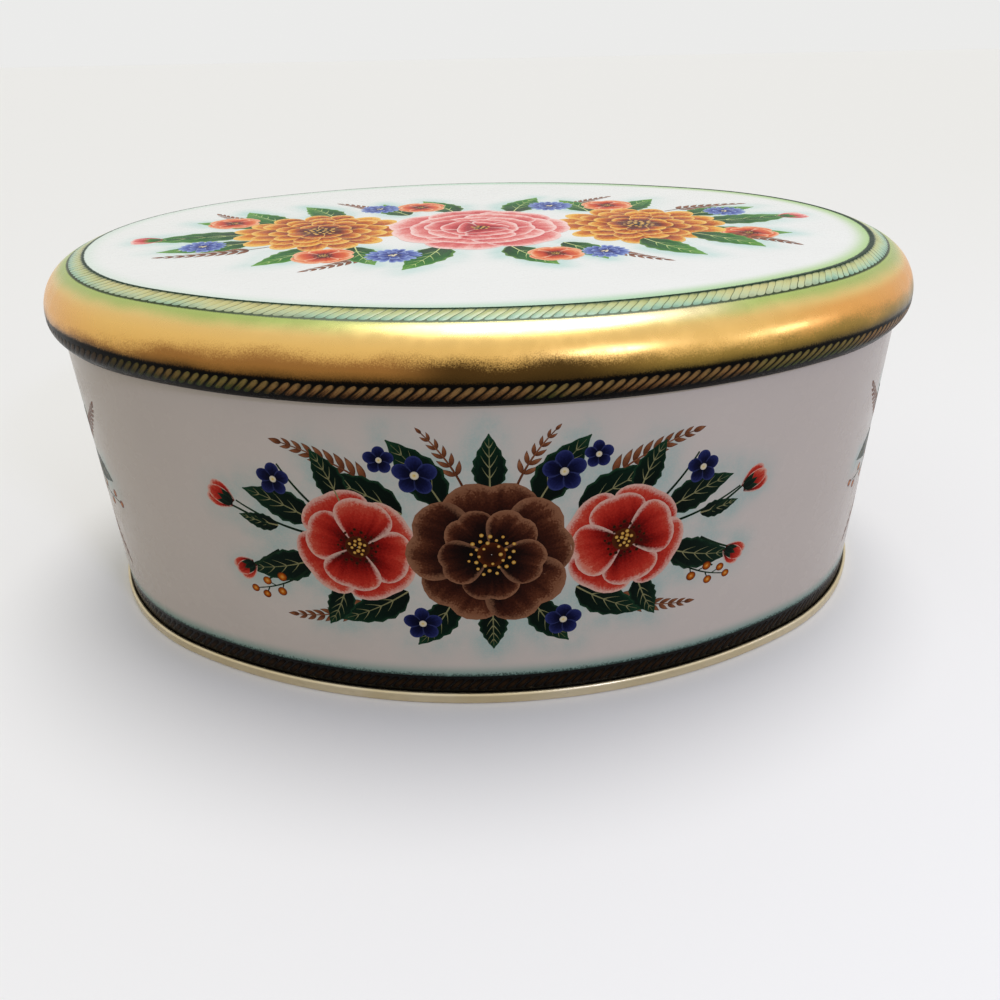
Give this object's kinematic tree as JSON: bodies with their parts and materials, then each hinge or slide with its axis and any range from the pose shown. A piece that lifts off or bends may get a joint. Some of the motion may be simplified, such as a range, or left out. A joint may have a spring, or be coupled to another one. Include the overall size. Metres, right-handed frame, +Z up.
{
  "type": "oval tin box",
  "caption": "Oval straight-walled tin box with a slip-on lid that has a flat top, a sloping border and a round overhanging shoulder, on a double-seamed base.",
  "frame": {"origin": "on the table, under the middle of the closed box", "axes": "+X along the length, +Y to the back, +Z up"},
  "size_m": [0.2054, 0.1542, 0.0849],
  "materials": {
    "white_print": "gloss white print on tinplate",
    "gold_lacquer": "satin pale gold lacquer on tinplate",
    "gold_print": "satin gold print on tinplate, white on the top panel"
  },
  "bodies": {
    "box": {"body_wall": "white_print", "base_plate": "gold_lacquer"},
    "lid": {"lid": "gold_print"}
  },
  "joints": [
    {"name": "lid_lift", "type": "slide", "parent": "box", "child": "lid", "axis": [0, 0, 1], "range_m": [0, 0.08]}
  ]
}
